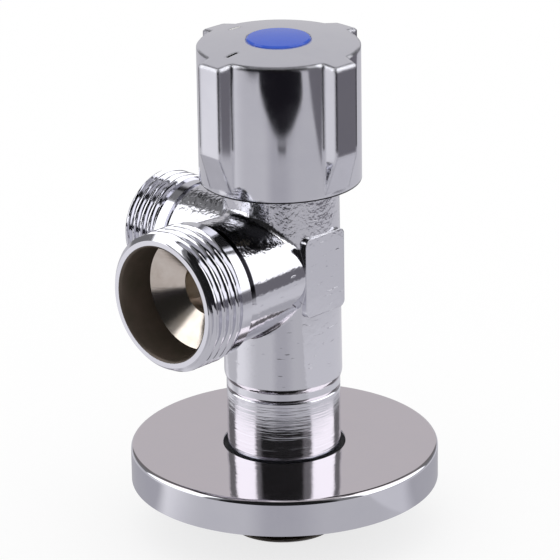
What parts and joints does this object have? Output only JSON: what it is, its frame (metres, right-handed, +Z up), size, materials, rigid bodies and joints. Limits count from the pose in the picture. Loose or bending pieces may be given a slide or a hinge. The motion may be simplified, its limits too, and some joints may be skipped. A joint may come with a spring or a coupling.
{
  "type": "double angle ball valve",
  "caption": "Angle ball valve with threaded inlet, two threaded outlets at right angles, quarter-turn lobed handle with blue index button, and sliding wall flange.",
  "frame": {"origin": "centre of the inlet's end face", "axes": "+Z up the valve axis from inlet to handle, -Y out of the large outlet, -X out of the small outlet"},
  "size_m": [0.0617, 0.0611, 0.0979],
  "materials": {
    "chrome_plate": "chrome plate over forged brass",
    "handle_chrome": "bright chrome plate over zinc casting",
    "flange_chrome": "bright chrome plate over pressed sheet",
    "ball_chrome": "hard chrome, polished",
    "brass": "turned brass",
    "ptfe": "white fluoropolymer",
    "pom": "natural acetal, moulded",
    "epdm": "black rubber",
    "spring_steel": "stainless steel",
    "blue_button": "gloss blue plastic"
  },
  "bodies": {
    "valve": {"valve_body": "chrome_plate", "lower_seat": "ptfe", "seat_o_ring": "epdm", "cavity_liner": "ptfe", "upper_seat": "ptfe", "bonnet": "brass", "bonnet_o_ring": "epdm", "stop_ring": "pom", "retaining_clip": "spring_steel"},
    "handle_and_stem": {"stem": "brass", "stem_o_ring_lower": "epdm", "stem_o_ring_upper": "epdm", "thrust_washer": "ptfe", "handle": "handle_chrome", "handle_insert": "pom", "screw_washer": "spring_steel", "handle_screw": "spring_steel", "index_button": "blue_button"},
    "shutter": {"ball": "ball_chrome"},
    "rosette": {"wall_flange": "flange_chrome", "flange_grip_ring": "epdm"}
  },
  "joints": [
    {"name": "handle_turn", "type": "hinge", "parent": "valve", "child": "handle_and_stem", "pos_m": [0, 0, 0.08], "axis": [0, 0, 1], "range_deg": [-90, 0]},
    {"name": "ball_turn", "type": "hinge", "parent": "valve", "child": "shutter", "pos_m": [0, 0, 0.054], "axis": [0, 0, 1], "range_deg": [-90, 0]},
    {"name": "flange_slide", "type": "slide", "parent": "valve", "child": "rosette", "axis": [0, 0, 1], "range_m": [-0.0102, 0.0126]}
  ],
  "couplings": [
    {"joint": "ball_turn", "follows": "handle_turn", "ratio": 1}
  ]
}
